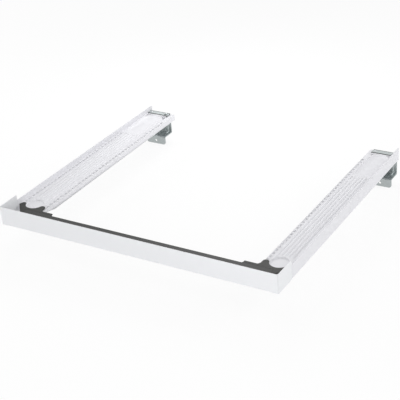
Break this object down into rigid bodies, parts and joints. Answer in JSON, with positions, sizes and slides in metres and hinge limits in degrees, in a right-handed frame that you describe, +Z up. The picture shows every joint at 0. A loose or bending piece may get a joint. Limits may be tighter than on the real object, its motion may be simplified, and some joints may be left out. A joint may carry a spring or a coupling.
{
  "type": "washer dryer stacking kit",
  "caption": "U-shaped kit that sits on a washing machine and holds a tumble dryer: white front bar, dark claws round the front feet, grooved white rails and zinc rear brackets.",
  "frame": {"origin": "middle of the front bar's bottom flange, on the plane of the washer's top", "axes": "+X to the right seen from the front, +Y to the back, +Z up"},
  "size_m": [0.596, 0.536, 0.0862],
  "materials": {
    "white_paint": "satin white paint",
    "white_plastic": "fine matte",
    "anthracite_steel": "powder coated",
    "anthracite_plastic": "fine matte",
    "zinc_plated_steel": "zinc plated",
    "black_screw": "blackened",
    "black_rubber": "matte"
  },
  "bodies": {
    "root": {"front_fascia": "white_paint", "crossmember": "anthracite_steel", "fascia_nut_1": "zinc_plated_steel", "fascia_nut_2": "zinc_plated_steel", "fascia_nut_3": "zinc_plated_steel", "fascia_nut_4": "zinc_plated_steel", "left_foot_stop": "anthracite_plastic", "right_foot_stop": "anthracite_plastic", "left_rail": "white_plastic", "right_rail": "white_plastic", "left_bracket": "zinc_plated_steel", "right_bracket": "zinc_plated_steel", "left_front_pad": "black_rubber", "left_middle_pad": "black_rubber", "left_rear_pad": "black_rubber", "right_front_pad": "black_rubber", "right_middle_pad": "black_rubber", "right_rear_pad": "black_rubber", "left_crossmember_screw_1": "black_screw", "left_crossmember_screw_2": "black_screw", "right_crossmember_screw_1": "black_screw", "right_crossmember_screw_2": "black_screw", "left_foot_stop_screw_1": "zinc_plated_steel", "left_foot_stop_screw_2": "zinc_plated_steel", "right_foot_stop_screw_1": "zinc_plated_steel", "right_foot_stop_screw_2": "zinc_plated_steel", "left_bracket_screw": "zinc_plated_steel", "right_bracket_screw": "zinc_plated_steel"}
  },
  "joints": []
}
